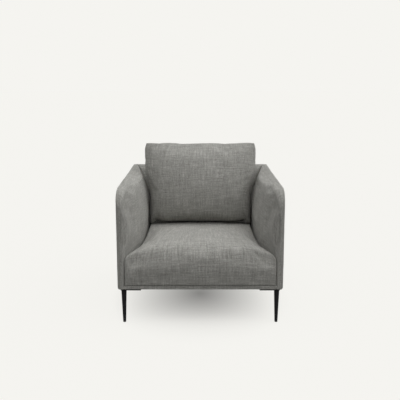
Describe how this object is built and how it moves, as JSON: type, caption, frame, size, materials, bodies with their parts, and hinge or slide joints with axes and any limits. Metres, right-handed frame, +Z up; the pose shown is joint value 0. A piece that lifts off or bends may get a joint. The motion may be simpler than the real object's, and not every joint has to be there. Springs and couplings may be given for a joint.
{
  "type": "upholstered armchair",
  "caption": "Low armchair with thin straight arms, puffed inner arm pads, a crowned tight seat, a loose boxed back cushion and black tapered steel legs.",
  "frame": {"origin": "on the floor under the middle of the chair's bounding box", "axes": "+Z up, the sitter looks along -Y, +X to the right of a viewer who faces the chair"},
  "size_m": [0.82, 0.8005, 0.8265],
  "materials": {
    "upholstery_fabric": "slubby woven linen look, warm mid grey",
    "dust_cloth": "black non-woven cloth",
    "felt": "needled grey felt",
    "webbing": "elastic woven strap",
    "zip_tape": "woven tape with a moulded coil",
    "foam": "open-cell polyurethane foam",
    "black_steel": "matte black powder coat",
    "glide_nylon": "black moulded nylon",
    "spring_steel": "drawn wire",
    "slider_metal": "dull nickel",
    "hardboard": "brown hardboard",
    "beech": "planed beech"
  },
  "bodies": {
    "chair": {"arm_board_left": "hardboard", "arm_board_right": "hardboard", "arm_foam_left": "foam", "arm_foam_right": "foam", "arm_inner_cover_left": "upholstery_fabric", "arm_inner_cover_right": "upholstery_fabric", "arm_liner_left": "hardboard", "arm_liner_right": "hardboard", "arm_outer_cover_left": "upholstery_fabric", "arm_outer_cover_right": "upholstery_fabric", "arm_top_rail_left": "beech", "arm_top_rail_right": "beech", "back_board": "hardboard", "back_foam": "foam", "back_inner_cover": "upholstery_fabric", "back_outer_cover": "upholstery_fabric", "back_stile": "beech", "back_top_rail": "beech", "back_webbing": "webbing", "corner_blocks": "beech", "dust_cover": "dust_cloth", "front_border": "upholstery_fabric", "front_post_left": "beech", "front_post_right": "beech", "front_rail": "beech", "leg_front_left": "black_steel", "leg_front_right": "black_steel", "leg_glides": "glide_nylon", "leg_rear_left": "black_steel", "leg_rear_right": "black_steel", "loose_tenons": "beech", "plinth_batten": "beech", "rear_post_left": "beech", "rear_post_right": "beech", "rear_rail": "beech", "seat_cover": "upholstery_fabric", "seat_foam": "foam", "seat_springs": "spring_steel", "side_rail_left": "beech", "side_rail_right": "beech", "spring_clips": "spring_steel", "spring_felt": "felt"},
    "back_cushion": {"cushion_cover": "upholstery_fabric", "cushion_insert": "foam", "cushion_zip": "zip_tape"},
    "zip_slider": {"zip_slider": "slider_metal"}
  },
  "joints": [
    {"name": "back_cushion_lift", "type": "slide", "parent": "chair", "child": "back_cushion", "axis": [0, 0, 1], "range_m": [0, 0.34]},
    {"name": "zip_slide", "type": "slide", "parent": "back_cushion", "child": "zip_slider", "axis": [-1, 0, 0], "range_m": [0, 0.44]}
  ]
}
